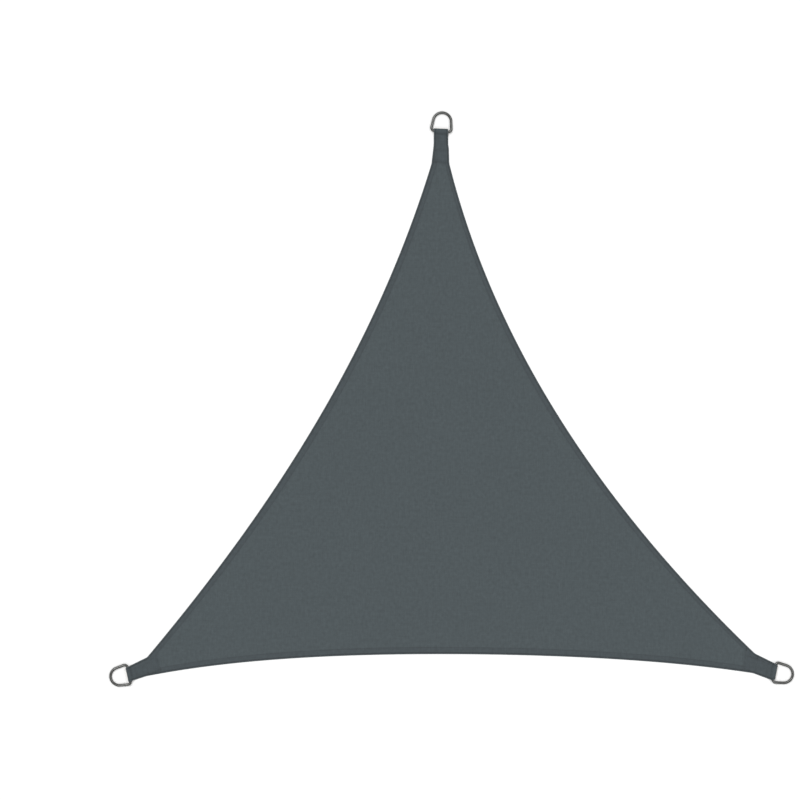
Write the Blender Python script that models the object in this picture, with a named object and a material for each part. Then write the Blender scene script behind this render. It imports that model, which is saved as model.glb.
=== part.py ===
"""Triangular shade sail with concave edges, laid out flat on the ground.

One hemmed cloth, three webbing loops sewn into its corner tabs, and three steel D rings.
The right side of the cloth is up and the hems are turned under. Lengths are in metres.
The plan below is drawn from the middle of the whole thing, +X right and +Y towards the top
corner, and a parent empty then brings the middle of the finished box exactly to the origin.
"""
import math

import bmesh
import bpy
from mathutils import Matrix, Vector
from mathutils.geometry import intersect_line_line

MM = 0.001

# Cloth
SINGLE_LAYER = 1.0 * MM
HEM_THICKNESS = 2.0 * MM
HEM_WIDTH = 22.0 * MM
HEM_FALL = 4.0 * MM            # plan width of the step from the hem down to the single layer
POINTS_PER_EDGE = 26

# Webbing, doubled round the straight bar of a ring and sewn between the layers of a tab
WEBBING_WIDTH = 38.0 * MM
WEBBING_PLY = 1.2 * MM
LEG_LENGTH = 85.0 * MM         # from the bar to the cut ends inside the cloth
LEG_JOIN = 11.0 * MM           # the two plies meet here, and the lower cloth layer starts here
GAP = 0.3 * MM                 # between any two pieces that touch

# Steel D ring
WIRE_RADIUS = 4.0 * MM
RING_HALF_WIDTH = 29.8 * MM    # to the wire's centre line, as are the next four
RING_DEPTH = 56.0 * MM
RING_CORNER = 8.5 * MM
RING_CROWN = 26.8 * MM         # radius of the round end, to which the two sides close in
BAR_HALF_LENGTH = RING_HALF_WIDTH - RING_CORNER

LOOP_INNER_RADIUS = WIRE_RADIUS + GAP
LOOP_OUTER_RADIUS = LOOP_INNER_RADIUS + WEBBING_PLY
BAR_HEIGHT = LOOP_OUTER_RADIUS             # the loop just touches the ground under the bar
LEG_BOTTOM = SINGLE_LAYER + GAP
LEG_TOP = LEG_BOTTOM + 2 * WEBBING_PLY
POCKET_TOP = LEG_TOP + GAP

# The corners. bar is the middle of the ring's straight bar, inward the way from the ring into
# the cloth in degrees, and leg_turn how far the webbing bends from that way to follow the tab.
# high and low are the tab's two sides, left and right of inward, from the tab's end to the
# place where the long edge starts. All lengths are millimetres on the plan.
CORNERS = {
    "top": {
        "bar": (-33.0, 802.0),
        "inward": 264.0,
        "leg_turn": 6.0,
        "high": [(-11.7, 808.6), (-11.7, 762.0), (-9.9, 753.0), (-8.5, 706.0)],
        "low": [(-54.6, 810.6), (-54.9, 762.0), (-61.5, 705.0)],
    },
    "left": {
        "bar": (-969.0, -826.0),
        "inward": 13.0,
        "leg_turn": 8.0,
        "high": [(-979.1, -807.3), (-914.6, -775.6)],
        "low": [(-969.8, -849.3), (-917.5, -832.2)],
    },
    "right": {
        "bar": (966.0, -819.8),
        "inward": 169.3,
        "leg_turn": -10.0,
        "high": [(968.1, -841.5), (957.0, -843.3), (902.1, -822.9)],
        "low": [(976.4, -798.1), (908.4, -764.4)],
    },
}

# The long edges, in turn anticlockwise: the corners they run between, how deep the curve is
# drawn in at mid length, how much deeper it gets towards its far end, and how much fuller its
# two ends are than a parabola. Millimetres.
EDGES = [
    {"start": "left", "end": "right", "depth": 61.5, "lean": -14.9, "ends": 67.1},
    {"start": "right", "end": "top", "depth": 122.8, "lean": 29.9, "ends": 9.4},
    {"start": "top", "end": "left", "depth": 87.5, "lean": -22.9, "ends": -3.4},
]

# The upper cloth layer along a tab, measured inward from the bar. It rises over the loop and
# ends just past the bar: its underside, its top over the webbing, its top at the tab's sides.
COVER = [
    {"along": -8.0, "under": 10.4, "top": 11.4, "side": 11.4},
    {"along": 0.0, "under": 11.4, "top": 12.4, "side": 12.4},
    {"along": 3.0, "under": 10.9, "top": 12.0, "side": 12.0},
    {"along": 12.0, "under": 4.0, "top": 5.2, "side": 4.6},
    {"along": 18.0, "under": 1.0, "top": 5.0, "side": 1.6},
    {"along": 86.0, "under": 1.0, "top": 5.0, "side": 1.6},
    {"along": 96.0, "under": 1.0, "top": 1.7, "side": 1.6},
]
COVER_SHOULDER = 0.6 * MM      # flat top past each edge of the webbing
COVER_SLOPE = 3.0 * MM         # from the webbing's edge to the foot of the slope
COVER_SET_IN = 0.5 * MM        # from the tab's side, where the cover lies on the cloth


def clear_scene():
    for old in list(bpy.data.objects):
        bpy.data.objects.remove(old, do_unlink=True)


def principled(name, color, roughness, metallic):
    material = bpy.data.materials.new(name)
    material.use_nodes = True
    shader = material.node_tree.nodes["Principled BSDF"]
    shader.inputs["Base Color"].default_value = (*color, 1.0)
    shader.inputs["Roughness"].default_value = roughness
    shader.inputs["Metallic"].default_value = metallic
    return material


def corner_frame(corner):
    """Bar at the origin, +X inward along the tab, +Y to its high side."""
    x, y = corner["bar"]
    turn = Matrix.Rotation(math.radians(corner["inward"]), 4, "Z")
    return Matrix.Translation((x * MM, y * MM, 0.0)) @ turn


def side_points(corner, side):
    """One side of a tab in its corner's own frame, from the tab's end inward."""
    to_corner = corner_frame(corner).inverted()
    return [to_corner @ Vector((x * MM, y * MM, 0.0)) for x, y in corner[side]]


def across_at(points, along):
    """How far a tab's side stands off the middle at a distance along the tab."""
    for near, far in zip(points, points[1:]):
        if along <= far.x:
            return near.y + (far.y - near.y) * (along - near.x) / (far.x - near.x)
    return points[-1].y


def leg_shift(corner, along):
    """Sideways place of the webbing's middle, which bends where its plies meet."""
    past_join = max(0.0, along - LEG_JOIN)
    return past_join * math.tan(math.radians(corner["leg_turn"]))


def edge_ends(edge):
    start = CORNERS[edge["start"]]["low"][-1]
    end = CORNERS[edge["end"]]["high"][-1]
    return Vector(start) * MM, Vector(end) * MM


def edge_point(edge, t, inset=0.0):
    """A point of a long edge, t from 0 to 1, set into the cloth by inset."""
    start, end = edge_ends(edge)
    chord = end - start
    along = chord.normalized()
    inward = Vector((-along.y, along.x))
    depth = (edge["depth"] + edge["lean"] * (t - 0.5) + edge["ends"] * (t - 0.5) ** 2) * MM
    point = start + chord * t + inward * 4.0 * t * (1.0 - t) * depth
    if inset == 0.0:
        return point
    step = 0.001
    way = edge_point(edge, t + step) - edge_point(edge, t - step)
    way.normalize()
    return point + Vector((-way.y, way.x)) * inset


def hem_meeting(first, second, inset):
    """Where two neighbouring edges, set in by inset, cross: t on the first and on the second."""
    t_first = 1.0
    t_second = 0.0
    step = 0.001
    for _ in range(12):
        a = edge_point(first, t_first, inset)
        a_way = (edge_point(first, t_first + step, inset) - a) / step
        b = edge_point(second, t_second, inset)
        b_way = (edge_point(second, t_second + step, inset) - b) / step
        hit, _ = intersect_line_line(a.to_3d(), (a + a_way).to_3d(), b.to_3d(), (b + b_way).to_3d())
        t_first += (hit.xy - a).dot(a_way) / a_way.length_squared
        t_second += (hit.xy - b).dot(b_way) / b_way.length_squared
    return t_first, t_second


def hem_loop(inset):
    """The closed line that runs inset inside all three long edges."""
    loop = []
    for index, edge in enumerate(EDGES):
        before = EDGES[index - 1]
        after = EDGES[(index + 1) % len(EDGES)]
        t_from = hem_meeting(before, edge, inset)[1]
        t_to = hem_meeting(edge, after, inset)[0]
        for step in range(POINTS_PER_EDGE):
            t = t_from + (t_to - t_from) * step / POINTS_PER_EDGE
            loop.append(edge_point(edge, t, inset))
    return loop


def tab_outline(corner):
    """Round a tab whose lower layer ends at the leg join: in along high, out along low."""
    frame = corner_frame(corner)
    outline = []
    for side in ("high", "low"):
        points = side_points(corner, side)
        kept = [Vector((LEG_JOIN, across_at(points, LEG_JOIN), 0.0))]
        kept += [point for point in points[1:-1] if point.x > LEG_JOIN]
        if side == "high":
            kept.reverse()
        outline += [(frame @ point).xy for point in kept]
    return outline


def sail_outline():
    outline = []
    for edge in EDGES:
        outline += [edge_point(edge, step / POINTS_PER_EDGE) for step in range(POINTS_PER_EDGE + 1)]
        outline += tab_outline(CORNERS[edge["end"]])
    return outline


def loft(name, sections):
    """A closed solid through rings of points, each ring with the same number of them."""
    bm = bmesh.new()
    rings = [[bm.verts.new(point) for point in section] for section in sections]
    for ring, following in zip(rings, rings[1:]):
        for index in range(len(ring)):
            after = (index + 1) % len(ring)
            bm.faces.new((ring[index], ring[after], following[after], following[index]))
    bm.faces.new(rings[0])
    bm.faces.new(rings[-1])
    bmesh.ops.recalc_face_normals(bm, faces=bm.faces)
    mesh = bpy.data.meshes.new(name)
    bm.to_mesh(mesh)
    bm.free()
    return mesh


def flat_ring(points, height):
    return [(point.x, point.y, height) for point in points]


def add_object(name, data, parent, material=None):
    shape = bpy.data.objects.new(name, data)
    bpy.context.scene.collection.objects.link(shape)
    shape.parent = parent
    if material is not None:
        data.materials.append(material)
    return shape


def add_tool(name, mesh, parent):
    """A form that only cuts or adds to the cloth."""
    tool = add_object(name, mesh, parent)
    tool.hide_render = True
    tool.display_type = "WIRE"
    return tool


def combine(shape, tool, operation):
    boolean = shape.modifiers.new(tool.name, "BOOLEAN")
    boolean.operation = operation
    boolean.object = tool
    boolean.solver = "EXACT"


def hem_recess():
    """Everything over the single layer, inside the hems, with a sloping rim."""
    rise = HEM_THICKNESS - SINGLE_LAYER
    foot = hem_loop(HEM_WIDTH + HEM_FALL)
    rim = hem_loop(HEM_WIDTH - HEM_FALL)
    return loft("hem_recess", [flat_ring(foot, SINGLE_LAYER), flat_ring(rim, HEM_THICKNESS + rise)])


def cover_heights(along):
    """Underside, top and side top of the upper layer at a distance along the tab."""
    for near, far in zip(COVER, COVER[1:]):
        if along <= far["along"] * MM:
            span = (far["along"] - near["along"]) * MM
            share = (along - near["along"] * MM) / span
            return [(near[key] + (far[key] - near[key]) * share) * MM for key in ("under", "top", "side")]
    return [COVER[-1][key] * MM for key in ("under", "top", "side")]


def cover_side(corner, side, along):
    """Plan place of the cover's side: the tab's own side over the bar, then nearer the webbing."""
    sign = 1.0 if side == "high" else -1.0
    tab_side = across_at(side_points(corner, side), along)
    if along < LEG_JOIN:
        return tab_side
    slope_foot = leg_shift(corner, along) + sign * (WEBBING_WIDTH / 2 + COVER_SLOPE)
    inside_tab = tab_side - sign * COVER_SET_IN
    return sign * min(sign * slope_foot, sign * inside_tab)


def cover_section(corner, along_low, along_high):
    """Six points round the cover: two below, two at its sides, two over the webbing's edges."""
    low = cover_side(corner, "low", along_low)
    high = cover_side(corner, "high", along_high)
    shoulder = WEBBING_WIDTH / 2 + COVER_SHOULDER
    middle = leg_shift(corner, (along_low + along_high) / 2)

    def place(across, level):
        along = along_low + (along_high - along_low) * (across - low) / (high - low)
        return Vector((along, across, cover_heights(along)[level]))

    return [
        place(low, 0),
        place(high, 0),
        place(high, 2),
        place(middle + shoulder, 1),
        place(middle - shoulder, 1),
        place(low, 2),
    ]


def cover(name, corner):
    """The upper cloth layer of a tab, over the ring's bar and along the webbing."""
    frame = corner_frame(corner)
    end_low = side_points(corner, "low")[0].x
    end_high = side_points(corner, "high")[0].x
    sections = [cover_section(corner, end_low, end_high)]
    for row in COVER[1:]:
        sections.append(cover_section(corner, row["along"] * MM, row["along"] * MM))
    return loft(name, [[frame @ point for point in section] for section in sections])


def pocket(name, corner):
    """The space between the layers of a tab that holds the webbing's legs."""
    frame = corner_frame(corner)
    half_width = WEBBING_WIDTH / 2 + GAP
    sections = []
    for along in (LEG_JOIN - 2 * MM, LEG_JOIN, LEG_LENGTH + GAP):
        middle = leg_shift(corner, along)
        section = [
            (along, middle - half_width, SINGLE_LAYER),
            (along, middle + half_width, SINGLE_LAYER),
            (along, middle + half_width, POCKET_TOP),
            (along, middle - half_width, POCKET_TOP),
        ]
        sections.append([frame @ Vector(point) for point in section])
    return loft(name, sections)


def make_cloth(parent, material):
    outline = sail_outline()
    slab = loft("sail_cloth", [flat_ring(outline, 0.0), flat_ring(outline, HEM_THICKNESS)])
    cloth = add_object("sail_cloth", slab, parent, material)
    combine(cloth, add_tool("hem_recess", hem_recess(), parent), "DIFFERENCE")
    for name, corner in CORNERS.items():
        cover_name = "cover_" + name
        combine(cloth, add_tool(cover_name, cover(cover_name, corner), parent), "UNION")
    for name, corner in CORNERS.items():
        pocket_name = "pocket_" + name
        combine(cloth, add_tool(pocket_name, pocket(pocket_name, corner), parent), "DIFFERENCE")


def round_the_bar(radius, low_start, high_end):
    """A line that leaves low_start, goes round the outer side of the bar and on to high_end."""
    centre = Vector((0.0, BAR_HEIGHT))
    steps = 16
    turns = []
    for point, sign in ((low_start, -1.0), (high_end, 1.0)):
        away = point - centre
        turns.append(math.atan2(away.y, away.x) + sign * math.acos(radius / away.length))
    sweep = turns[1] - 2 * math.pi - turns[0]
    line = [low_start]
    for step in range(steps + 1):
        turn = turns[0] + sweep * step / steps
        line.append(centre + Vector((math.cos(turn), math.sin(turn))) * radius)
    line.append(high_end)
    return line


def webbing_mesh(name, corner):
    """The doubled webbing's section, drawn side on, then given its width and its bend in plan."""
    outer = round_the_bar(LOOP_OUTER_RADIUS, Vector((LEG_JOIN, LEG_BOTTOM)), Vector((LEG_JOIN, LEG_TOP)))
    crotch = Vector((LEG_JOIN - 2.5 * MM, (LEG_BOTTOM + LEG_TOP) / 2))
    inner = round_the_bar(LOOP_INNER_RADIUS, crotch, crotch)

    bm = bmesh.new()
    edge = -WEBBING_WIDTH / 2
    outer_verts = [bm.verts.new((point.x, edge, point.y)) for point in outer]
    inner_verts = [bm.verts.new((point.x, edge, point.y)) for point in inner[:-1]]
    inner_verts.append(inner_verts[0])
    for index in range(len(outer_verts) - 1):
        ring = (outer_verts[index], outer_verts[index + 1], inner_verts[index + 1], inner_verts[index])
        bm.faces.new(ring)
    end_top = bm.verts.new((LEG_LENGTH, edge, LEG_TOP))
    end_bottom = bm.verts.new((LEG_LENGTH, edge, LEG_BOTTOM))
    bm.faces.new((outer_verts[0], inner_verts[0], outer_verts[-1]))
    bm.faces.new((outer_verts[0], outer_verts[-1], end_top, end_bottom))

    grown = bmesh.ops.extrude_face_region(bm, geom=bm.faces[:])["geom"]
    far_side = [item for item in grown if isinstance(item, bmesh.types.BMVert)]
    bmesh.ops.translate(bm, verts=far_side, vec=(0.0, WEBBING_WIDTH, 0.0))
    for vert in bm.verts:
        vert.co.y += leg_shift(corner, vert.co.x)
    bmesh.ops.recalc_face_normals(bm, faces=bm.faces)
    mesh = bpy.data.meshes.new(name)
    bm.to_mesh(mesh)
    bm.free()
    mesh.shade_smooth()
    mesh.set_sharp_from_angle(angle=math.radians(40))
    return mesh


def make_webbing(parent, material):
    for name, corner in CORNERS.items():
        node = "webbing_loop_" + name
        loop = add_object(node, webbing_mesh(node, corner), parent, material)
        x, y = corner["bar"]
        loop.location = (x * MM, y * MM, 0.0)
        loop.rotation_euler = (0.0, 0.0, math.radians(corner["inward"]))


def arc(centre, radius, start, end, steps):
    points = []
    for step in range(steps + 1):
        turn = math.radians(start + (end - start) * step / steps)
        points.append((centre[0] + radius * math.cos(turn), centre[1] + radius * math.sin(turn)))
    return points


def ring_line():
    """The wire's centre line: straight bar at the origin, round end towards -X."""
    corner = Vector((-RING_CORNER, -BAR_HALF_LENGTH))
    crown = Vector((RING_CROWN - RING_DEPTH, 0.0))
    way = crown - corner
    tangent = math.atan2(way.y, way.x) + math.acos((RING_CORNER - RING_CROWN) / way.length)
    turn = math.degrees(tangent)
    points = arc(corner, RING_CORNER, 0.0, turn - 360.0, 5)
    points += arc(crown, RING_CROWN, turn, 360.0 - turn, 20)
    points += arc((corner.x, -corner.y), RING_CORNER, 360.0 - turn, 0.0, 5)
    return points


def ring_curve():
    curve = bpy.data.curves.new("d_ring", "CURVE")
    curve.dimensions = "3D"
    curve.bevel_depth = WIRE_RADIUS
    curve.bevel_resolution = 4
    line = ring_line()
    spline = curve.splines.new("POLY")
    spline.points.add(len(line) - 1)
    for point, (x, y) in zip(spline.points, line):
        point.co = (x, y, 0.0, 1.0)
    spline.use_cyclic_u = True
    return curve


def make_rings(parent, material):
    """The round end rests on the ground, and the bar lies a little higher in its loop."""
    lean = math.asin((BAR_HEIGHT - WIRE_RADIUS) / RING_DEPTH)
    curve = ring_curve()
    curve.materials.append(material)
    for name, corner in CORNERS.items():
        ring = add_object("d_ring_" + name, curve, parent)
        x, y = corner["bar"]
        ring.location = (x * MM, y * MM, BAR_HEIGHT)
        ring.rotation_euler = (0.0, -lean, math.radians(corner["inward"]))


def centre_on_origin(parent):
    """Move the whole sail so that the middle of its box's underside is the origin."""
    bpy.context.view_layer.update()
    depsgraph = bpy.context.evaluated_depsgraph_get()
    places = []
    for shape in bpy.context.scene.objects:
        if shape.type == "EMPTY" or shape.hide_render:
            continue
        evaluated = shape.evaluated_get(depsgraph)
        mesh = evaluated.to_mesh()
        places += [shape.matrix_world @ vert.co for vert in mesh.vertices]
        evaluated.to_mesh_clear()
    middle_x = (min(place.x for place in places) + max(place.x for place in places)) / 2
    middle_y = (min(place.y for place in places) + max(place.y for place in places)) / 2
    bottom = min(place.z for place in places)
    parent.location = (-middle_x, -middle_y, -bottom)


def main():
    clear_scene()
    sail = bpy.data.objects.new("shade_sail", None)
    bpy.context.scene.collection.objects.link(sail)
    cloth_material = principled("slate_polyester", (0.084, 0.102, 0.109), 0.85, 0.0)
    webbing_material = principled("cream_webbing", (0.72, 0.66, 0.54), 0.8, 0.0)
    steel_material = principled("bright_steel", (0.56, 0.57, 0.58), 0.28, 1.0)
    make_cloth(sail, cloth_material)
    make_webbing(sail, webbing_material)
    make_rings(sail, steel_material)
    centre_on_origin(sail)


main()
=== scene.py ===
import math

import bmesh
import bpy
from mathutils import Matrix, Vector, kdtree, noise


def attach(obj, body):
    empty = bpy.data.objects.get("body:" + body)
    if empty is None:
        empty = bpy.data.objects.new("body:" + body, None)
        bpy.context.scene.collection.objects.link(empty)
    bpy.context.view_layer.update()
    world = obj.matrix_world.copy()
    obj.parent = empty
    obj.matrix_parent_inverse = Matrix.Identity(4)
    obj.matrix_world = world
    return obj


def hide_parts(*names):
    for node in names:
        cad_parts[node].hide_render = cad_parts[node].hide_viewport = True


# A triangular shade sail laid out flat, right side up. Lengths in the plan and in the forms are
# millimetres unless a note says metres, and those of the finishes and the studio are metres.

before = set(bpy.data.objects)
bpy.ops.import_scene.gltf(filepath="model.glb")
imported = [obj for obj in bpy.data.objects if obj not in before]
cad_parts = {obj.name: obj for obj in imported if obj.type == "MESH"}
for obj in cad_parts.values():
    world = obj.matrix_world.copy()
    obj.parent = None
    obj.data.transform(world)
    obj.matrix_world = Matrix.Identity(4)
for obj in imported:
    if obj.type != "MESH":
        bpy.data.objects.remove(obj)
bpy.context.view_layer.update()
mm = 0.001
print("frame loaded:", ", ".join(sorted(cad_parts)))


# the plan of the sail, drawn from the middle of the drawing
plan = {
    "shift": (1.367, 0.764),      # from the drawing's middle to the middle of the model's box
    "sampleEvery": 1.0,           # spacing of the points that stand for a side
    "edgeSteps": 300,             # points that draw a long edge
    "softenCorners": 8,           # smoothing passes where a tab runs into a long edge
    "nearSamples": 300,           # points of a side that are looked through beside a tab
    "tabLength": 160,             # a place counts as being at a corner when it is this near to
    "tabHalfWidth": 110,          # its bar: inwards, to each side, and outwards
    "beforeBar": 15,
}

# bar is the middle of a ring's straight bar, inward the way into the cloth in degrees, legTurn
# the bend of the webbing from there, and high and low the tab's two sides, left and right of it
corners = {
    "top": {
        "bar": (-33.0, 802.0),
        "inward": 264.0,
        "legTurn": 6.0,
        "high": [(-11.7, 808.6), (-11.7, 762.0), (-9.9, 753.0), (-8.5, 706.0)],
        "low": [(-54.6, 810.6), (-54.9, 762.0), (-61.5, 705.0)],
    },
    "left": {
        "bar": (-969.0, -826.0),
        "inward": 13.0,
        "legTurn": 8.0,
        "high": [(-979.1, -807.3), (-914.6, -775.6)],
        "low": [(-969.8, -849.3), (-917.5, -832.2)],
    },
    "right": {
        "bar": (966.0, -819.8),
        "inward": 169.3,
        "legTurn": -10.0,
        "high": [(968.1, -841.5), (957.0, -843.3), (902.1, -822.9)],
        "low": [(976.4, -798.1), (908.4, -764.4)],
    },
}

# the long edges anticlockwise: how deep each is drawn in, how much deeper towards its far end,
# how much fuller its two ends are than a parabola, and the hem's width at the ends and midway
longEdges = [
    {"start": "left", "end": "right", "depth": 61.5, "lean": -14.9, "ends": 67.1, "hem": (17.8, 21.8)},
    {"start": "right", "end": "top", "depth": 122.8, "lean": 29.9, "ends": 9.4, "hem": (11.2, 18.4)},
    {"start": "top", "end": "left", "depth": 87.5, "lean": -22.9, "ends": -3.4, "hem": (15.4, 21.1)},
]
walks = ("highWalk", "lowWalk")   # a corner's two sides, each from the tab's end outwards


def planPoint(x, y):
    return (Vector((x, y)) + Vector(plan["shift"])) * mm


def cornerMatrix(corner):
    x, y = planPoint(*corner["bar"])
    return Matrix.Translation((x, y, 0)) @ Matrix.Rotation(math.radians(corner["inward"]), 4, "Z")


def edgePoint(edge, t):
    start = planPoint(*corners[edge["start"]]["low"][-1])
    end = planPoint(*corners[edge["end"]]["high"][-1])
    chord = end - start
    inward = Vector((-chord.y, chord.x)).normalized()
    depth = (edge["depth"] + edge["lean"] * (t - 0.5) + edge["ends"] * (t - 0.5) ** 2) * mm
    return start + chord * t + inward * 4 * t * (1 - t) * depth


def resample(line, spacing):
    runs = [0.0]
    for a, b in zip(line, line[1:]):
        runs.append(runs[-1] + (b - a).length)
    count = round(runs[-1] / spacing)
    points = []
    at = 0
    for step in range(count + 1):
        run = runs[-1] * step / count
        while at < len(line) - 2 and runs[at + 1] < run:
            at += 1
        share = (run - runs[at]) / (runs[at + 1] - runs[at])
        points.append(line[at].lerp(line[at + 1], share))
    return points


def sideOf(edge):
    # one whole side of the sail: out of a tab, along the long edge, into the next tab
    line = [planPoint(*point) for point in corners[edge["start"]]["low"][:-1]]
    line += [edgePoint(edge, step / plan["edgeSteps"]) for step in range(plan["edgeSteps"] + 1)]
    line += [planPoint(*point) for point in reversed(corners[edge["end"]]["high"][:-1])]
    points = resample(line, plan["sampleEvery"] * mm)
    for _ in range(plan["softenCorners"]):
        kept = points[1:-1]
        for index, point in enumerate(kept):
            kept[index] = point * 0.5 + (points[index] + points[index + 2]) * 0.25
        points[1:-1] = kept
    normals = []
    for index in range(len(points)):
        way = points[min(index + 1, len(points) - 1)] - points[max(index - 1, 0)]
        normals.append(Vector((-way.y, way.x)).normalized())
    return {"points": points, "normals": normals}


sides = [sideOf(edge) for edge in longEdges]
sideTree = kdtree.KDTree(sum(len(side["points"]) for side in sides))
sideIndex = []
for number, side in enumerate(sides):
    for index, point in enumerate(side["points"]):
        sideTree.insert(point.to_3d(), len(sideIndex))
        sideIndex.append((number, index))
sideTree.balance()


def ease(low, high, value):
    share = min(max((value - low) / (high - low), 0), 1)
    return share * share * (3 - 2 * share)


def mix(a, b, share):
    return a + (b - a) * share


def hemWidth(number, index):
    # the hem is narrower towards the ends of a side
    share = index / (len(sides[number]["points"]) - 1)
    narrow, wide = longEdges[number]["hem"]
    return mix(narrow, wide, 4 * share * (1 - share))


def hemPlace(place):
    # how far inside its nearest side a place lies, how far along it, and the hem's width there;
    # each side's run starts 2 m after the one before, so that no two share their noise
    _, found, _ = sideTree.find((place[0], place[1], 0))
    number, index = sideIndex[found]
    side = sides[number]
    normal = side["normals"][index]
    away = Vector(place[:2]) - side["points"][index]
    run = index * plan["sampleEvery"] * mm + away.dot(Vector((normal.y, -normal.x)))
    return abs(away.dot(normal)), run + number * 2, hemWidth(number, index)


for corner in corners.values():
    corner["matrix"] = cornerMatrix(corner)
    corner["inverse"] = corner["matrix"].inverted()
for number, edge in enumerate(longEdges):
    points = sides[number]["points"]
    normals = sides[number]["normals"]
    middle = len(points) // 2
    corners[edge["start"]]["lowWalk"] = (points[: middle + 1], normals[: middle + 1])
    corners[edge["end"]]["highWalk"] = (points[middle:][::-1], normals[middle:][::-1])
for corner in corners.values():
    for which in walks:
        near = corner[which][0][: plan["nearSamples"]]
        corner[which + "Along"] = [(corner["inverse"] @ point.to_3d()).x / mm for point in near]


def walkAt(corner, which, along):
    # the sample number, with its fraction, where a side passes a distance along the tab
    passed = corner[which + "Along"]
    for index in range(len(passed) - 1):
        if passed[index + 1] >= along:
            return index + max(0, along - passed[index]) / (passed[index + 1] - passed[index])
    return len(passed) - 1.0


def walkPoint(walk, number):
    points, normals = walk
    index = min(int(number), len(points) - 2)
    share = number - index
    return points[index].lerp(points[index + 1], share), normals[index].lerp(normals[index + 1], share)


# heights of the cloth's two faces
clothForm = {
    "flatWidth": 1.98,            # metres: the cut before its hems and strips are turned under
    "flatLength": 1.71,
    "cutArea": 1.30,              # square metres
    "thickness": 0.45,
    "bodyHeight": 0.85,           # right side of the single layer over the ground
    "unevenness": 0.22,           # slow waves of the single layer, then of hems and tabs
    "hemUnevenness": 0.07,
    "tabUnevenness": 0.16,
    "hemHeight": 1.9,
    "hemFall": 2.4,               # half of the step from the hem down to the single layer
    "coverFall": (-0.8, 3.4),     # where the tab falls away beside the webbing, from its edge
    "coverFade": (88, 104),       # from the bar: where the tab's right side, its double cloth
    "doubleFade": (86, 100),      # and its underside run out into the sail's
    "underFade": (100, 130),
    "edgeRound": 0.9,             # how far in the fold at the edge is round
    "underHem": 0.36,             # underside of the turned hem over the ground
    "underTab": 1.08,             # the same in a tab, where one more strip lies below it
    "underStrip": 0.58,           # underside of that strip, and of its folded free edge
    "underFold": 0.34,
    "foldWidth": 5.5,
    "foldFall": 0.8,
    "stripEnd": 99.0,             # from the bar
    "stripInset": 1.4,            # from the tab's high side
    "stripPast": 3.0,             # how far the strip reaches past the webbing, and how far it
    "stripClear": 2.0,            # keeps from the stitches along the tab's low side
    "lipWidth": 3.0,              # turned under along the cloth that passes over the bar
    "lipDepth": 1.0,
    "seamGroove": 0.28,
    "weld": 0.004,                # points as near as this to each other become one
}

# the cloth over the webbing: distance from the bar, height over the webbing, height at the sides
coverRows = [
    (-8.0, 11.3, 11.1),
    (0.0, 12.3, 12.15),
    (3.0, 11.95, 11.8),
    (12.0, 5.35, 4.5),
    (18.0, 4.95, 2.1),
    (84.0, 4.85, 1.9),
    (97.0, 1.9, 1.9),
]

webbingForm = {
    "width": 38.0,
    "thickness": 1.0,
    "ribDepth": 0.13,
    "ribPitch": 1.8,
    "ribbed": 26.0,               # length of the ribbed part on each side of the bar
    "legLength": 85.0,
    "legJoin": 11.0,              # where the two plies meet, and the tab's lower layer starts
    "lowerPly": 2.1,              # middle heights of the two plies inside the tab
    "upperPly": 3.25,
    "barHeight": 5.5,             # middle of the ring's bar, over the ground
    "loopRadius": 4.9,
    "turnSteps": 40,              # round the bar
    "sampleEvery": 0.15,
    "columns": 26,
}

edgeSeam = 4.6                    # inset of the row of stitches along every side
hemSeamBack = 2.0                 # the second row, measured back from the hem's inner edge
tabSeams = [20.0, 22.6, 56.0, 58.4, 93.0, 95.4]     # rows across a tab, from the bar
stitchPitch = 3.4


def nearCorner(place):
    # the corner whose tab a place belongs to, with its distance along and across it
    for corner in corners.values():
        local = corner["inverse"] @ Vector((place[0], place[1], 0))
        along = local.x / mm
        across = local.y / mm
        if -plan["beforeBar"] < along < plan["tabLength"] and abs(across) < plan["tabHalfWidth"]:
            return corner, along, across
    return None, 0, 0


def coverHeight(along, across, shift):
    top = coverRows[-1][1]
    side = coverRows[-1][2]
    if along <= coverRows[0][0]:
        top = coverRows[0][1]
        side = coverRows[0][2]
    else:
        for near, far in zip(coverRows, coverRows[1:]):
            if along <= far[0]:
                share = ease(near[0], far[0], along)
                top = mix(near[1], far[1], share)
                side = mix(near[2], far[2], share)
                break
    half = webbingForm["width"] / 2
    inner, outer = clothForm["coverFall"]
    return mix(top, side, ease(half + inner, half + outer, abs(across - shift)))


def seamDip(inset, width, along, corner):
    # how strongly a row of stitches draws the cloth in, from 0 to 1
    dip = math.exp(-((inset - edgeSeam) / 0.75) ** 2)
    if corner is None or along > tabSeams[-1]:
        dip = max(dip, 0.8 * math.exp(-((inset - width + hemSeamBack) / 0.8) ** 2))
    if corner is not None:
        for row in tabSeams:
            dip = max(dip, math.exp(-((along - row) / 0.7) ** 2))
    return dip


def legShift(corner, along):
    return max(0, along - webbingForm["legJoin"]) * math.tan(math.radians(corner["legTurn"]))


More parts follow.
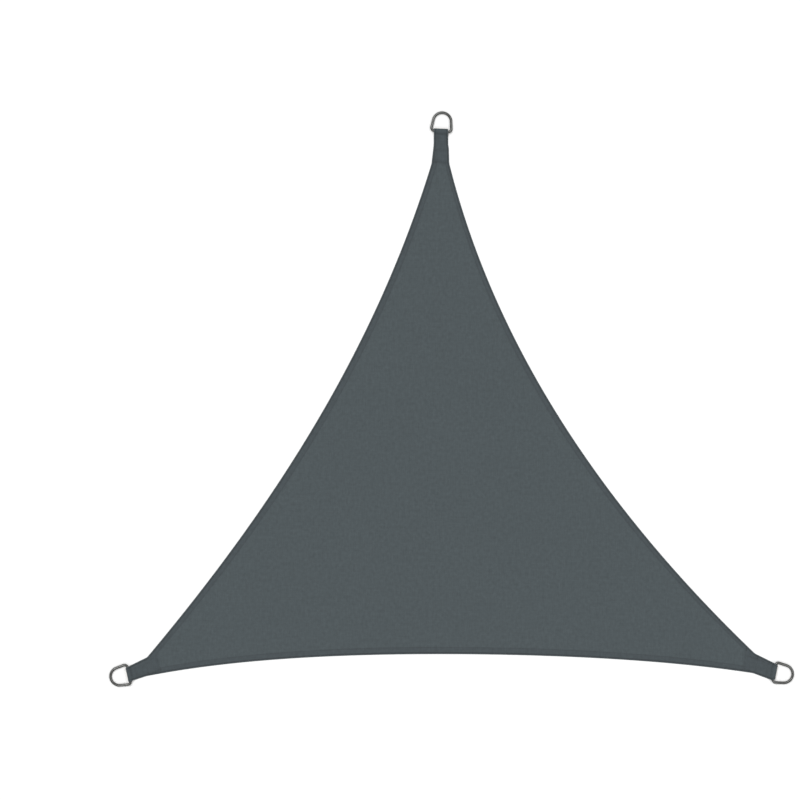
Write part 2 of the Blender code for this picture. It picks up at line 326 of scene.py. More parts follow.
def faceHeight(place):
    inset, run, width = hemPlace(place)
    inset /= mm
    form = clothForm
    waves = noise.noise(Vector((place[0] * 3.1, place[1] * 2.7, 0.4)))
    waves += 0.45 * noise.noise(Vector((place[0] * 9.0, place[1] * 8.2, 3.1)))
    height = form["bodyHeight"] + form["unevenness"] * waves
    hem = 1 - ease(width - form["hemFall"], width + form["hemFall"], inset)
    ripple = form["hemUnevenness"] * noise.noise(Vector((run * 42, inset * 0.03, 8.0)))
    height = mix(height, form["hemHeight"] + ripple, hem)
    corner, along, across = nearCorner(place)
    if corner is not None:
        shift = legShift(corner, along)
        cover = coverHeight(along, across, shift)
        waves = noise.noise(Vector((along * 0.11, across * 0.13, corner["inward"])))
        cover += form["tabUnevenness"] * waves
        height = mix(cover, height, ease(*form["coverFade"], along))
    return (height - form["seamGroove"] * seamDip(inset, width, along, corner)) * mm


def underHeight(along):
    form = clothForm
    return mix(form["underTab"], form["underHem"], ease(*form["underFade"], along)) * mm


# what the pieces share in their making
def finished(name, bm, material):
    mesh = bpy.data.meshes.new(name)
    bm.to_mesh(mesh)
    bm.free()
    return placed(name, mesh, material)


def placed(name, mesh, material):
    piece = bpy.data.objects.new(name, mesh)
    bpy.context.scene.collection.objects.link(piece)
    mesh.materials.append(material)
    mesh.shade_smooth()
    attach(piece, "root")
    return piece


class Wire:
    # one socket of a material; sums on it add Math nodes
    def __init__(self, tree, socket=None):
        self.tree = tree
        self.socket = socket

    def node(self, kind, settings, values, output=0):
        made = self.tree.nodes.new(kind)
        for name, value in settings.items():
            setattr(made, name, value)
        for name, value in values.items():
            if isinstance(value, Wire):
                self.tree.links.new(value.socket, made.inputs[name])
            else:
                made.inputs[name].default_value = value
        return Wire(self.tree, made.outputs[output])

    def math(self, operation, *values):
        return self.node("ShaderNodeMath", {"operation": operation}, dict(enumerate(values)))

    def __add__(self, other):
        return self.math("ADD", self, other)

    def __radd__(self, other):
        return self.math("ADD", other, self)

    def __sub__(self, other):
        return self.math("SUBTRACT", self, other)

    def __rsub__(self, other):
        return self.math("SUBTRACT", other, self)

    def __mul__(self, other):
        return self.math("MULTIPLY", self, other)

    def __rmul__(self, other):
        return self.math("MULTIPLY", other, self)

    def __truediv__(self, other):
        return self.math("DIVIDE", self, other)

    def __abs__(self):
        return self.math("ABSOLUTE", self)

    def wave(self, pitch):
        return self.math("SINE", self * (2 * math.pi / pitch))

    def band(self, middle, halfWidth):
        # 1 on a line, falling to 0 at halfWidth on both sides of it
        away = abs(self - middle) / halfWidth
        values = {"Value": away, "From Min": 0.0, "From Max": 1.0, "To Min": 1.0, "To Max": 0.0}
        return self.node("ShaderNodeMapRange", {"interpolation_type": "SMOOTHSTEP"}, values)


def newMaterial(name, color, roughness, metallic=0.0):
    material = bpy.data.materials.new(name)
    material.use_nodes = True
    shader = material.node_tree.nodes["Principled BSDF"]
    shader.inputs["Base Color"].default_value = (*color, 1)
    shader.inputs["Roughness"].default_value = roughness
    shader.inputs["Metallic"].default_value = metallic
    return material, Wire(material.node_tree), shader


def noiseAt(wire, place, scale, detail=2.0):
    return wire.node("ShaderNodeTexNoise", {}, {"Vector": place, "Scale": scale, "Detail": detail})


def stretched(wire, place, turn, scale):
    values = {"Vector": place, "Rotation": (0, 0, turn), "Scale": scale}
    return wire.node("ShaderNodeMapping", {}, values)


def attribute(wire, name):
    return wire.node("ShaderNodeAttribute", {"attribute_name": name}, {}, "Fac")


def mixColor(wire, share, a, b):
    return wire.node("ShaderNodeMix", {"data_type": "RGBA"}, {"Factor": share, 6: a, 7: b}, 2)


def intoShader(wire, shader, name, value):
    wire.tree.links.new(value.socket, shader.inputs[name])


def bumpFrom(wire, shader, height, strength):
    values = {"Height": height, "Distance": 1.0, "Strength": strength}
    intoShader(wire, shader, "Normal", wire.node("ShaderNodeBump", {}, values))


clothLayers = ("inset", "run", "fromSeam", "layers")

clothFinish = {
    "body": (0.0643, 0.0799, 0.0863),
    "doubleClothShade": (0.0569, 0.0702, 0.0771),   # painted shade over the hems and tabs, where less light shines through the double cloth
    # painted shade of the groove that a row of stitches draws into the cloth
    "seam": (0.026, 0.0325, 0.036),
    "roughness": 0.82,
    "sheen": 0.12,
    "specular": 0.25,
    "yarnPitch": 0.55 * mm,
    "weaveTurn": 2,               # degrees: the weave lies almost square to the lower edge
    "warp": 0.29,                 # how strongly the yarns, the blotches and the slow clouds
    "weft": 0.22,                 # lighten and darken the cloth
    "mottle": 0.45,
    "cloudy": 0.06,
    "layerFade": 1.8 * mm,        # how softly the double cloth and its painted shade begin at the hem's inner edge
    "seamShadeWidth": 1.8 * mm,        # half of the dark band of painted shade along a row of stitches, and of the bands of puckers and of drawn cloth beside it
    "puckerWidth": 3.5 * mm,      # bands of puckers and of drawn cloth beside it
    "drawnWidth": 9 * mm,
}


def makeClothMaterial():
    finish = clothFinish
    material, wire, shader = newMaterial("slatePolyester", finish["body"], finish["roughness"])
    place = wire.node("ShaderNodeTexCoord", {}, {}, "Object")
    turned = stretched(wire, place, math.radians(finish["weaveTurn"]), (1, 1, 1))
    x, y = [wire.node("ShaderNodeSeparateXYZ", {}, {"Vector": turned}, axis) for axis in "XY"]
    weave = x.wave(finish["yarnPitch"] * 2) * y.wave(finish["yarnPitch"] * 2)
    warp = noiseAt(wire, stretched(wire, turned, 0, (450, 30, 1)), 1.0)
    weft = noiseAt(wire, stretched(wire, turned, 0, (12, 900, 1)), 1.0)
    mottle = noiseAt(wire, place, 100.0, 4.0)
    cloudy = noiseAt(wire, place, 4.0)
    inset, run, fromSeam, layers = [attribute(wire, name) for name in clothLayers]
    # painted shade in the grooves of the stitch rows, along the edge and, faintly, along the hem's inner
    # edge
    edgeSeamShade = inset.band(edgeSeam * mm, finish["seamShadeWidth"])
    hemSeamShade = fromSeam.band(0.0, finish["seamShadeWidth"]) * layers
    seam = wire.math("MAXIMUM", edgeSeamShade, hemSeamShade * 0.12)
    # the double cloth of hems and tabs is painted darker, as shade where less light shines through it
    color = mixColor(wire, layers, (*finish["body"], 1), (*finish["doubleClothShade"], 1))
    color = mixColor(wire, seam, color, (*finish["seam"], 1))
    light = 1 + weave * 0.035 + (warp - 0.5) * finish["warp"] + (weft - 0.5) * finish["weft"]
    light = light + (mottle - 0.5) * finish["mottle"] + (cloudy - 0.5) * finish["cloudy"]
    color = wire.node("ShaderNodeVectorMath", {"operation": "SCALE"}, {0: color, "Scale": light})
    intoShader(wire, shader, "Base Color", color)
    intoShader(wire, shader, "Roughness", finish["roughness"] + (mottle - 0.5) * 0.12)
    pucker = run.wave(stitchPitch * mm) * inset.band(edgeSeam * mm, finish["puckerWidth"]) * 0.5
    alongSeam = wire.node("ShaderNodeCombineXYZ", {}, {"X": run * 130, "Y": inset * 45})
    drawn = noiseAt(wire, alongSeam, 1.0) * inset.band(edgeSeam * mm, finish["drawnWidth"])
    height = weave * 0.06 * mm + (warp + weft) * 0.05 * mm + pucker * 0.12 * mm + drawn * 0.5 * mm
    bumpFrom(wire, shader, height, 0.55)
    shader.inputs["Sheen Weight"].default_value = finish["sheen"]
    shader.inputs["Sheen Roughness"].default_value = 0.5
    shader.inputs["Specular IOR Level"].default_value = finish["specular"]
    return material


clothMaterial = makeClothMaterial()
print("cloth material made")


# the cloth's grid: its columns, as distances in from the side, over the open sail, over a tab and
# on the underside. The first and the last are for a hem of fullHem, and narrow with the hem.
faceInsets = [0.9, 1.9, 3.0, 3.9, 4.6, 5.3, 6.4, 8.5, 12.0]
faceInsets += [15.5, 18.0, 19.2, 20.0, 20.8, 22.0, 23.6, 26.0, 30.0]
tabInsets = [0.9, 1.9, 3.0, 3.9, 4.6, 5.3, 6.2, 7.0, 7.9]
tabInsets += [8.8, 9.7, 10.6, 11.5, 12.4, 13.2, 14.0, 14.8, 15.6]
underInsets = [1.3, 2.6, 5.5, 11.0, 17.0, 21.6]
fullHem = 22
foldAngles = [45, 0, -45]         # points round the fold at the edge
middleSteps = 30
tabGridEnd = 130                  # a tab's own rows end here, from the bar, and outerRows go on
outerRows = 86                    # from there to the middle of the sail
outerLength = 700                 # about how far that is
rowTurn = (60, 125)               # from the bar: where the rows turn square to the sides
tabWiden = (22, 46)               # half widths of a tab between which its columns open out

acrossSteps = [("under", inset) for inset in reversed(underInsets)]
acrossSteps += [("fold", angle) for angle in reversed(foldAngles)]
acrossSteps += [("face", number) for number in range(len(faceInsets))]
sideSteps = len(acrossSteps)
acrossSteps += [("middle", step / middleSteps) for step in range(1, middleSteps)]
acrossSteps += acrossSteps[sideSteps - 1::-1]

# the cloth's end, turned under: how far in from the end, and how far below the upper face
lipRows = [(5.0, -1.0), (1.0, -1.0), (0.25, -0.85), (0.0, -0.5), (0.25, -0.12)]
tabEnd = coverRows[0][0]
cutAt = webbingForm["legJoin"]
sailMiddle = sum((side["points"][len(side["points"]) // 2] for side in sides), Vector((0, 0))) / 3


def markPlace(vert, layers, plane, doubled):
    # what the cloth material reads: inset, place along the side, and where the cloth is double and
    # painted in shade
    inset, run, width = hemPlace(plane)
    vert[layers["inset"]] = inset
    vert[layers["run"]] = run
    vert[layers["fromSeam"]] = inset - (width - hemSeamBack) * mm
    fade = clothFinish["layerFade"]
    vert[layers["layers"]] = max(1 - ease(width * mm - fade, width * mm + fade, inset), doubled)


def tabRows():
    # distances from the bar, closer together at the bar and at each row of stitches
    rows = [-7.0, -5.0, -3.0, -1.0, 1.0, 3.0, 5.0, 7.0, 9.0]
    rows += [cutAt - 0.01, cutAt + 0.01, 12.5, 14.0, 15.5, 17.0, 18.5]
    row = 20.0
    while row < tabGridEnd:
        rows.append(row)
        row += 2.0 if row < 100 else 3.0
    for seam in tabSeams:
        rows += [seam - 0.75, seam, seam + 0.75]
    closest = 0.55
    rows = sorted(rows)
    kept = [rows[0]]
    for row in rows[1:]:
        if row - kept[-1] > closest or abs(row - cutAt) < 0.1:
            kept.append(row)
    return kept


def hemInset(inset, width):
    return inset * mix(1, width / fullHem, ease(6, 18, inset))


def clothGrid(corner):
    # one third of the cloth, from the end of a tab to the middle of the sail
    tabRowList = tabRows()
    lastAlong = tabRowList[-1]
    axisX = (corner["matrix"].to_3x3() @ Vector((1, 0, 0))).xy
    straightFrom = 3.0            # past the bar the tab's sides are the plan's own
    ends = [walkPoint(corner[which], 0) for which in walks]
    starts = [walkPoint(corner[which], walkAt(corner, which, straightFrom)) for which in walks]
    lasts = [walkAt(corner, which, lastAlong) for which in walks]
    rows = []                     # each with its two side points and the ways in from them

    def addRow(kind, along, spots, turned, drop=0, bend=0):
        # turned goes from 0, straight over to the other side, to 1, square to the side
        across = (spots[1][0] - spots[0][0]).normalized()
        row = {"kind": kind, "along": along, "drop": drop, "bend": bend}
        for which, (point, normal), way in zip(walks, spots, (across, -across)):
            row[which] = (point, way.lerp(normal, turned), hemPlace(point)[2])
        rows.append(row)

    for along, drop in lipRows:
        addRow("lip", along, [(point + axisX * along * mm, normal) for point, normal in ends], 0, drop)
    for along in tabRowList:
        spots = [walkPoint(corner[which], walkAt(corner, which, along)) for which in walks]
        if along < straightFrom:
            share = (along - tabEnd) / (straightFrom - tabEnd)
            spots = [(end[0].lerp(start[0], share), end[1]) for end, start in zip(ends, starts)]
        addRow("tab", along, spots, ease(*rowTurn, along))
    for step in range(1, outerRows + 1):
        share = step / outerRows
        run = share * (0.42 + 0.58 * share)     # further apart towards the middle
        numbers = [mix(last, len(corner[which][0]) - 1, run) for last, which in zip(lasts, walks)]
        spots = [walkPoint(corner[which], number) for number, which in zip(numbers, walks)]
        addRow("outer", lastAlong + outerLength * run, spots, 1, 0, share ** 2)

    def insetPoint(row, which, inset):
        return row[which][0] + row[which][1] * inset * mm

    def facePoint(row, which, column, wide):
        inset = mix(tabInsets[column], hemInset(faceInsets[column], row[which][2]), wide)
        return insetPoint(row, which, inset)

    endHigh, endLow = [facePoint(rows[-1], which, -1, 1) for which in walks]

    bm = bmesh.new()
    bmesh.ops.create_grid(bm, x_segments=len(acrossSteps) - 1, y_segments=len(rows) - 1, size=0.5)
    layers = {name: bm.verts.layers.float.new(name) for name in clothLayers}
    removed = set()
    for vert in bm.verts:
        column = round((vert.co.x + 0.5) * (len(acrossSteps) - 1))
        number = round((vert.co.y + 0.5) * (len(rows) - 1))
        row = rows[number]
        kind, value = acrossSteps[column]
        which = "highWalk" if column < len(acrossSteps) / 2 else "lowWalk"
        halfWidth = (row["highWalk"][0] - row["lowWalk"][0]).length / 2 / mm
        wide = ease(*tabWiden, halfWidth)
        lip = row["kind"] == "lip" or row["along"] < cutAt
        if kind == "face":
            plane = facePoint(row, which, value, wide)
            height = faceHeight(plane)
        elif kind == "middle":
            high, low = [facePoint(row, which, -1, wide) for which in walks]
            plane = high.lerp(low, value)
            bent = endHigh.lerp(sailMiddle, value * 2)
            if value >= 0.5:
                bent = sailMiddle.lerp(endLow, value * 2 - 1)
            plane += (bent - endHigh.lerp(endLow, value)) * row["bend"]
            height = faceHeight(plane)
        elif kind == "fold":
            upper = faceHeight(insetPoint(row, which, clothForm["edgeRound"]))
            lower = upper - clothForm["lipDepth"] * mm if lip else underHeight(row["along"])
            angle = math.radians(value)
            plane = insetPoint(row, which, clothForm["edgeRound"] * (1 - math.cos(angle)))
            height = (upper + lower) / 2 + (upper - lower) / 2 * math.sin(angle)
        else:
            reach = min(value * row[which][2] / fullHem, (halfWidth - 0.3) * value / underInsets[-1])
            if lip:
                reach = min(value, clothForm["lipWidth"])
            plane = insetPoint(row, which, reach)
            height = underHeight(row["along"])
            if lip:
                height = faceHeight(plane) - clothForm["lipDepth"] * mm
        tab = 1 - ease(*clothForm["doubleFade"], row["along"]) if row["kind"] != "outer" else 0
        markPlace(vert, layers, plane, tab)
        vert.co = (plane.x, plane.y, height + row["drop"] * mm)
        if row["kind"] == "lip" and kind in ("under", "fold"):
            removed.add(vert)
        elif lip and kind == "under" and value > clothForm["lipWidth"]:
            removed.add(vert)
    spare = [face for face in bm.faces if any(vert in removed for vert in face.verts)]
    # the underside steps down to the tab's lower layer at cutAt, and the wall of that step goes too
    for face in bm.faces:
        local = [(corner["inverse"] @ vert.co).x / mm for vert in face.verts]
        if max(local) - min(local) < 0.05 and abs(local[0] - cutAt) < 0.2:
            if all(vert.co.z < faceHeight(vert.co) - 0.05 * mm for vert in face.verts):
                spare.append(face)
    bmesh.ops.delete(bm, geom=list(set(spare)), context="FACES")
    return bm


def acrossOf(corner, which, along):
    point = walkPoint(corner[which], walkAt(corner, which, along))[0]
    return (corner["inverse"] @ point.to_3d()).y / mm


def stripAcross(corner, along):
    # the free edge of the strip runs just past the webbing's edge, clear of the tab's own stitches
    past = legShift(corner, along) - webbingForm["width"] / 2 - clothForm["stripPast"]
    return max(acrossOf(corner, "lowWalk", along) + edgeSeam + clothForm["stripClear"], past)


def stripHeight(fromEdge):
    # underside of the strip, measured from its free edge, which is folded double
    form = clothForm
    fold = 1 - ease(form["foldWidth"] - form["foldFall"], form["foldWidth"] + form["foldFall"], fromEdge)
    return mix(form["underStrip"], form["underFold"], fold) * mm


def stripGrid(corner):
    # the strip on the underside that covers the webbing, along the tab's high side
    rows = 46
    columns = 30
    bm = bmesh.new()
    bmesh.ops.create_grid(bm, x_segments=columns, y_segments=rows, size=0.5)
    axisY = (corner["matrix"].to_3x3() @ Vector((0, 1, 0))).xy
    inset = clothForm["stripInset"]
    layers = {name: bm.verts.layers.float.new(name) for name in clothLayers}
    for vert in bm.verts:
        across = vert.co.x + 0.5
        along = mix(cutAt, clothForm["stripEnd"], vert.co.y + 0.5)
        high = walkPoint(corner["highWalk"], walkAt(corner, "highWalk", along))[0]
        width = (corner["inverse"] @ high.to_3d()).y / mm - stripAcross(corner, along)
        plane = high - axisY * mix(inset, width, across) * mm
        vert.co = (plane.x, plane.y, stripHeight(mix(width - inset, 0, across)))
        markPlace(vert, layers, plane, 1)
    bmesh.ops.reverse_faces(bm, faces=bm.faces)
    return bm


def makeCloth():
    whole = bmesh.new()
    for corner in corners.values():
        for bm in (clothGrid(corner), stripGrid(corner)):
            part = bpy.data.meshes.new("clothPart")
            bm.to_mesh(part)
            bm.free()
            whole.from_mesh(part)
            bpy.data.meshes.remove(part)
    bmesh.ops.remove_doubles(whole, verts=whole.verts, dist=clothForm["weld"] * mm)
    cloth = finished("sailCloth", whole, clothMaterial)
    solidify = cloth.modifiers.new("clothThickness", "SOLIDIFY")
    solidify.thickness = clothForm["thickness"] * mm
    solidify.offset = -1
    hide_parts("sail_cloth")
    return cloth


sailCloth = makeCloth()
print("cloth made:", len(sailCloth.data.polygons), "faces before its thickness")


webbingFinish = {
    "cream": (0.74, 0.67, 0.55),
    # painted shade for the hollows of the ribs and cords, also used for random fibre tone
    "shade": (0.52, 0.45, 0.35),
    "roughness": 0.78,
    "sheen": 0.15,
    "beadPitch": 0.9 * mm,
}


def makeWebbingMaterial():
    finish = webbingFinish
    material, wire, shader = newMaterial("creamWebbing", finish["cream"], finish["roughness"])
    rib = attribute(wire, "run").wave(webbingForm["ribPitch"] * mm)
    bead = attribute(wire, "across").wave(finish["beadPitch"])
    place = wire.node("ShaderNodeTexCoord", {}, {}, "Object")
    fibre = noiseAt(wire, place, 1400.0)
    # painted shade in the hollows between the ribs and between the cords across, with random fibre tone
    hollowShadeAndFibre = wire.math("MAXIMUM", 0 - rib, 0.0) * 0.55 + (0.5 - 0.5 * bead) * 0.28 + (fibre - 0.5) * 0.4
    hollowShadeAndFibre = wire.node("ShaderNodeClamp", {}, {"Value": hollowShadeAndFibre})
    color = mixColor(wire, hollowShadeAndFibre, (*finish["cream"], 1), (*finish["shade"], 1))
    intoShader(wire, shader, "Base Color", color)
    intoShader(wire, shader, "Roughness", finish["roughness"] + (fibre - 0.5) * 0.15)
    height = rib * 0.1 * mm + bead * 0.09 * mm + fibre * 0.05 * mm
    bumpFrom(wire, shader, height, 0.8)
    shader.inputs["Sheen Weight"].default_value = finish["sheen"]
    return material


def webbingLine():
    # the doubled tape seen from its side: in under the bar, round it, and back over the first ply
    form = webbingForm
    centre = Vector((0, form["barHeight"]))
    turns = []
    for height, sign in ((form["lowerPly"], -1), (form["upperPly"], 1)):
        away = Vector((form["legJoin"], height)) - centre
        turns.append(math.atan2(away.y, away.x) + sign * math.acos(form["loopRadius"] / away.length))
    sweep = turns[1] - 2 * math.pi - turns[0]
    line = [Vector((form["legLength"], form["lowerPly"])), Vector((form["legJoin"], form["lowerPly"]))]
    for step in range(form["turnSteps"] + 1):
        turn = turns[0] + sweep * step / form["turnSteps"]
        line.append(centre + Vector((math.cos(turn), math.sin(turn))) * form["loopRadius"])
    line += [Vector((form["legJoin"], form["upperPly"])), Vector((form["legLength"], form["upperPly"]))]
    return resample(line, form["sampleEvery"])


def makeWebbing(name, corner, material):
    form = webbingForm
    line = webbingLine()
    middle = len(line) // 2
    stations = []                 # sample numbers: fine steps where the ribs show
    at = 0
    while at < len(line):
        stations.append(at)
        ribbed = abs(at - middle) * form["sampleEvery"] < form["ribbed"]
        at += 3 if ribbed else 20
    stations.append(len(line) - 1)
    bm = bmesh.new()
    bmesh.ops.create_grid(bm, x_segments=form["columns"], y_segments=len(stations) - 1, size=0.5)
    runLayer = bm.verts.layers.float.new("run")
    acrossLayer = bm.verts.layers.float.new("across")
    for vert in bm.verts:
        across = vert.co.x * form["width"]
        at = stations[round((vert.co.y + 0.5) * (len(stations) - 1))]
        run = at * form["sampleEvery"]
        point = line[at]
        way = (line[min(at + 1, len(line) - 1)] - line[max(at - 1, 0)]).normalized()
        inward = Vector((way.y, -way.x))
        if abs(at - middle) * form["sampleEvery"] < form["ribbed"]:
            point = point + inward * form["ribDepth"] * math.sin(2 * math.pi * run / form["ribPitch"])
        local = Vector((point.x, across + legShift(corner, point.x), point.y)) * mm
        vert.co = corner["matrix"] @ local
        vert[runLayer] = run * mm
        vert[acrossLayer] = across * mm
    bmesh.ops.recalc_face_normals(bm, faces=bm.faces)
    loop = finished("webbingLoop_" + name, bm, material)
    solidify = loop.modifiers.new("tapeThickness", "SOLIDIFY")
    solidify.thickness = form["thickness"] * mm
    solidify.offset = 0
    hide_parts("webbing_loop_" + name)


webbingMaterial = makeWebbingMaterial()
for name, corner in corners.items():
    makeWebbing(name, corner, webbingMaterial)
print("webbing made")


ringForm = {
    "wireRadius": 4.0,            # the next four are to the middle of the wire
    "halfWidth": 29.8,
    "depth": 56.0,
    "cornerRadius": 8.5,
    "crownRadius": 26.8,          # the round end, to which the two sides close in
    "wireSegments": 28,
    "straightSteps": 4,
    "cornerSteps": 11,
    "crownSteps": 42,
}

ringFinish = {
    "steel": (0.125, 0.127, 0.123),
    "dull": (0.065, 0.066, 0.063),
    "roughness": 0.3,
}


def makeSteel():
    finish = ringFinish
    material, wire, shader = newMaterial("ringSteel", finish["steel"], finish["roughness"], 1.0)
    place = wire.node("ShaderNodeTexCoord", {}, {}, "Object")
    cloudy = noiseAt(wire, place, 90.0, 3.0)
    fine = noiseAt(wire, place, 900.0)
    color = mixColor(wire, cloudy * 0.6, (*finish["steel"], 1), (*finish["dull"], 1))
    intoShader(wire, shader, "Base Color", color)
    roughness = finish["roughness"] + (cloudy - 0.5) * 0.16 + (fine - 0.5) * 0.1
    intoShader(wire, shader, "Roughness", roughness)
    bumpFrom(wire, shader, fine * 0.02 * mm, 0.5)
    return material


def makeRing(name, corner, material):
    form = ringForm
    radius = form["cornerRadius"] * mm
    half = form["halfWidth"] * mm
    barHalf = half - radius
    crown = (form["crownRadius"] - form["depth"]) * mm
    toCrown = Vector((crown + radius, barHalf))
    closing = radius - form["crownRadius"] * mm
    turn = 2 * math.pi - math.atan2(toCrown.y, toCrown.x) - math.acos(closing / toCrown.length)
    length = math.sqrt(toCrown.length_squared - closing ** 2)
    bm = bmesh.new()
    upright = Matrix.Rotation(math.radians(90), 4, "X")
    bmesh.ops.create_circle(bm, radius=form["wireRadius"] * mm, segments=form["wireSegments"],
                            matrix=upright)
    loop = list(bm.edges)

    def straight(loop, shift):
        steps = form["straightSteps"]
        for _ in range(steps):
            grown = bmesh.ops.extrude_edge_only(bm, edges=loop)["geom"]
            verts = [item for item in grown if isinstance(item, bmesh.types.BMVert)]
            bmesh.ops.translate(bm, verts=verts, vec=Vector(shift) / steps)
            loop = [item for item in grown if isinstance(item, bmesh.types.BMEdge)
                    and all(vert in verts for vert in item.verts)]
        return loop

    def bend(loop, centre, angle, steps):
        verts = list(dict.fromkeys(vert for edge in loop for vert in edge.verts))
        turned = bmesh.ops.spin(bm, geom=loop + verts, cent=(*centre, 0), axis=(0, 0, 1),
                                angle=angle, steps=steps)
        return [item for item in turned["geom_last"] if isinstance(item, bmesh.types.BMEdge)]

    # from the middle of the bar, once round the ring
    loop = straight(loop, (0, barHalf, 0))
    loop = bend(loop, (-radius, barHalf), turn, form["cornerSteps"])
    loop = straight(loop, Vector((-math.sin(turn), math.cos(turn), 0)) * length)
    loop = bend(loop, (crown, 0), 2 * (math.pi - turn), form["crownSteps"])
    loop = straight(loop, Vector((math.sin(turn), math.cos(turn), 0)) * length)
    loop = bend(loop, (-radius, -barHalf), turn, form["cornerSteps"])
    straight(loop, (0, barHalf, 0))
    bmesh.ops.remove_doubles(bm, verts=bm.verts, dist=0.02 * mm)
    # the bar is held up in its loop and the round end lies on the ground
    barHeight = webbingForm["barHeight"]
    lean = math.asin((barHeight - form["wireRadius"]) / form["depth"])
    seat = Matrix.Translation((0, 0, barHeight * mm)) @ Matrix.Rotation(-lean, 4, "Y")
    bmesh.ops.transform(bm, matrix=corner["matrix"] @ seat, verts=bm.verts)
    bmesh.ops.recalc_face_normals(bm, faces=bm.faces)
    ring = finished("dRing_" + name, bm, material)
    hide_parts("d_ring_" + name)


steel = makeSteel()
for name, corner in corners.items():
    makeRing(name, corner, steel)
print("rings made")


threadForm = {
    "radius": 0.26,
    "over": 0.12,                 # how far the thread stands over the cloth
    "sunk": 0.35,                 # how deep it dips at the holes
    "stripInsets": (4.2, 1.2),    # two rows along the free edge of the strip
    "tackWidth": 4.4,             # the knots at the ends of two cross rows
    "tackPitch": 0.62,
    "tackLengths": (10, 14),
    "tackInset": 1.8,             # from the tab's low side, and how far past the cross row
    "tackPast": 1.2,
}

threadFinish = {
    "dark": (0.036, 0.043, 0.046),
    "light": (0.062, 0.073, 0.078),
    "roughness": 0.7,
}


def makeThreadMaterial():
    finish = threadFinish
    material, wire, shader = newMaterial("darkThread", finish["dark"], finish["roughness"])
    place = wire.node("ShaderNodeTexCoord", {}, {}, "Object")
    twist = noiseAt(wire, place, 2600.0)
    color = mixColor(wire, twist, (*finish["dark"], 1), (*finish["light"], 1))
    intoShader(wire, shader, "Base Color", color)
    bumpFrom(wire, shader, twist * 0.08 * mm, 0.7)
    return material


def sideRow(number, start, end, onHem=False):
    # plan points of a row that follows a side, or the inner edge of its hem, between two samples
    side = sides[number]
    points = []
    for index in range(round(start), round(end) + 1):
        inset = hemWidth(number, index) - hemSeamBack if onHem else edgeSeam
        points.append(side["points"][index] + side["normals"][index] * inset * mm)
    return points


def tabPoint(corner, along, across):
    return (corner["matrix"] @ Vector((along * mm, across * mm, 0))).xy


def crossRow(corner, along):
    # straight across a tab, from one edge row to the other
    high = tabPoint(corner, along, acrossOf(corner, "highWalk", along) - edgeSeam)
    low = tabPoint(corner, along, acrossOf(corner, "lowWalk", along) + edgeSeam)
    return resample([high, low], 1 * mm)


def stripRow(corner, inset):
    # along the free edge of the strip on the underside, between the first cross row and the last
    passed = range(round(tabSeams[0]), round(tabSeams[-2]) + 1)
    return [tabPoint(corner, along, stripAcross(corner, along) + inset) for along in passed]


def tackRow(corner, along, length):
    # the knot of a cross row at the tab's low side, sewn to and fro by hand
    form = threadForm
    start = acrossOf(corner, "lowWalk", along) + form["tackInset"]
    points = []
    for step in range(int(length / form["tackPitch"])):
        uneven = noise.noise(Vector((step * 0.7, along, corner["inward"])))
        swing = form["tackWidth"] / 2 * (1 + 0.5 * uneven) * (1 if step % 2 else -1)
        points.append(tabPoint(corner, along + swing, start + (step + uneven) * form["tackPitch"]))
    return points


def sailRows():
    # every row of stitches on the sail, as plan points
    form = threadForm
    rows = []
    for number, edge in enumerate(longEdges):
        total = len(sides[number]["points"]) - 1
        for seam, onHem in ((tabSeams[0], False), (tabSeams[-1], True)):
            first = walkAt(corners[edge["start"]], "lowWalk", seam)
            last = total - walkAt(corners[edge["end"]], "highWalk", seam)
            rows.append(sideRow(number, first, last, onHem))
    for corner in corners.values():
        rows += [crossRow(corner, along) for along in tabSeams]
        rows += [stripRow(corner, inset) for inset in form["stripInsets"]]
        for along, length in zip((tabSeams[2], tabSeams[4]), form["tackLengths"]):
            rows.append(tackRow(corner, along + form["tackPast"], length))
    return rows


def underPlace(place):
    # height of the lowest cloth over the ground
    corner, along, across = nearCorner(place)
    if corner is None:
        return clothForm["underHem"] * mm
    fromEdge = across - stripAcross(corner, along)
    if along > clothForm["stripEnd"] or fromEdge < 0:
        return underHeight(along)
    return stripHeight(fromEdge)


def stitchMesh(rows, facing):
    # facing is 1 on the right side of the cloth and -1 on the underside
    form = threadForm
    parts = 6                     # a stitch has six parts, and needs points at its ends alone
    curve = bpy.data.curves.new("stitches", "CURVE")
    curve.dimensions = "3D"
    curve.bevel_depth = form["radius"] * mm
    curve.bevel_resolution = 0
    for row in rows:
        points = []
        for number, place in enumerate(resample(row, stitchPitch * mm / parts)):
            part = number % parts
            if part not in (0, 1, parts - 1):
                continue
            rise = -form["sunk"] if part == 0 else form["over"]
            if facing > 0:
                height = faceHeight(place) + rise * mm
            else:
                height = max(underPlace(place) - rise * mm, form["radius"] * mm)
            points.append((place.x, place.y, height, 1))
        spline = curve.splines.new("POLY")
        spline.points.add(len(points) - 1)
        for point, place in zip(spline.points, points):
            point.co = place
    holder = bpy.data.objects.new("stitches", curve)
    bpy.context.scene.collection.objects.link(holder)
    bpy.context.view_layer.update()
    depsgraph = bpy.context.evaluated_depsgraph_get()
    mesh = bpy.data.meshes.new_from_object(holder.evaluated_get(depsgraph))
    bpy.data.objects.remove(holder)
    bpy.data.curves.remove(curve)
    return mesh


thread = makeThreadMaterial()
rows = sailRows()
topStitches = placed("stitchesTop", stitchMesh(rows, 1), thread)
underStitches = placed("stitchesUnder", stitchMesh(rows, -1), thread)
print("stitches made:", len(topStitches.data.polygons), "faces a side")


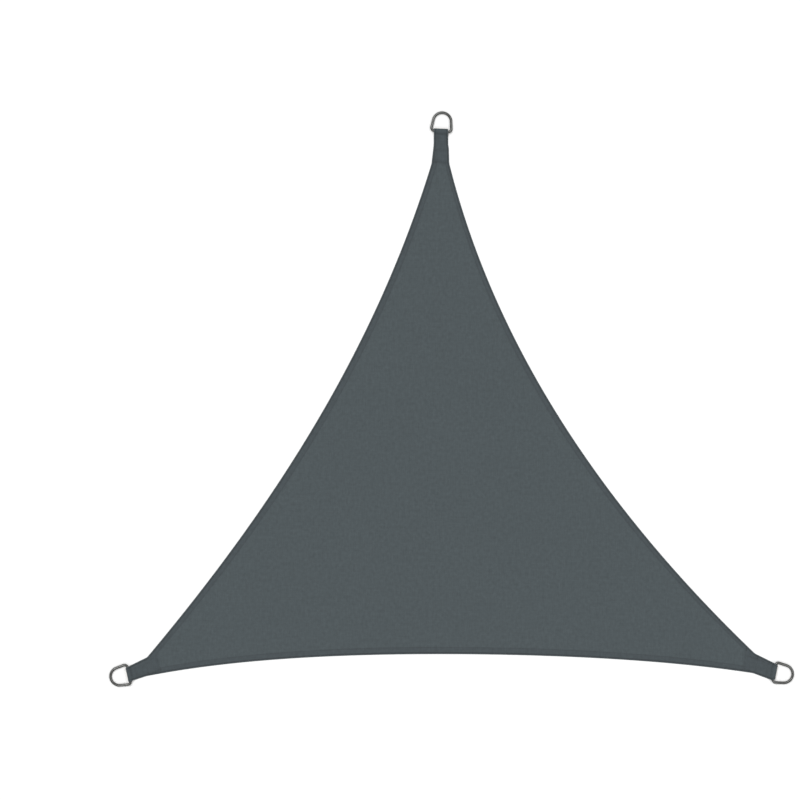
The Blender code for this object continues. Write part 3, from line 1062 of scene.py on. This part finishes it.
studio = {
    "floorColor": (0.93, 0.93, 0.93),
    "floorSize": 60.0,
    "worldStrength": 0.30,
    "cameraHeight": 12.0,
    "lens": 180.0,
    "viewCentre": (-0.15482, -0.00313),
    # soft lamps: the way each one shines from, its strength, and how wide it looks in degrees
    "lamps": {
        "keyLamp": ((-0.7, 0.9, 2.2), 1.46, 26),
        "sideLamp": ((1.1, 0.35, 2.1), 0.85, 34),
        "lowLamp": ((-0.2, -1.1, 2.1), 0.67, 34),
    },
}


def makeFloor():
    material, _, shader = newMaterial("paleFloor", studio["floorColor"], 0.9)
    shader.inputs["Specular IOR Level"].default_value = 0.1
    bm = bmesh.new()
    bmesh.ops.create_grid(bm, x_segments=2, y_segments=2, size=studio["floorSize"] / 2)
    mesh = bpy.data.meshes.new("floor")
    bm.to_mesh(mesh)
    bm.free()
    mesh.materials.append(material)
    floor = bpy.data.objects.new("floor", mesh)
    bpy.context.scene.collection.objects.link(floor)


def addLamp(name, place, strength, width):
    data = bpy.data.lights.new(name, "SUN")
    data.energy = strength
    data.angle = math.radians(width)
    lamp = bpy.data.objects.new(name, data)
    bpy.context.scene.collection.objects.link(lamp)
    lamp.location = place
    lamp.rotation_euler = (-Vector(place)).to_track_quat("-Z", "Y").to_euler()


def makeStudio():
    makeFloor()
    scene = bpy.context.scene
    world = bpy.data.worlds.new("studioWorld")
    world.use_nodes = True
    background = world.node_tree.nodes["Background"]
    background.inputs["Color"].default_value = (1, 1, 1, 1)
    background.inputs["Strength"].default_value = studio["worldStrength"]
    scene.world = world
    for name, (place, strength, width) in studio["lamps"].items():
        addLamp(name, place, strength, width)
    data = bpy.data.cameras.new("camera")
    data.lens = studio["lens"]
    data.sensor_width = 36
    data.clip_end = 200
    camera = bpy.data.objects.new("camera", data)
    scene.collection.objects.link(camera)
    camera.location = (*studio["viewCentre"], studio["cameraHeight"])
    camera.rotation_euler = (0, 0, 0)     # straight down
    scene.camera = camera
    scene.view_settings.view_transform = "Standard"
    scene.view_settings.look = "None"


makeStudio()
print("studio made")
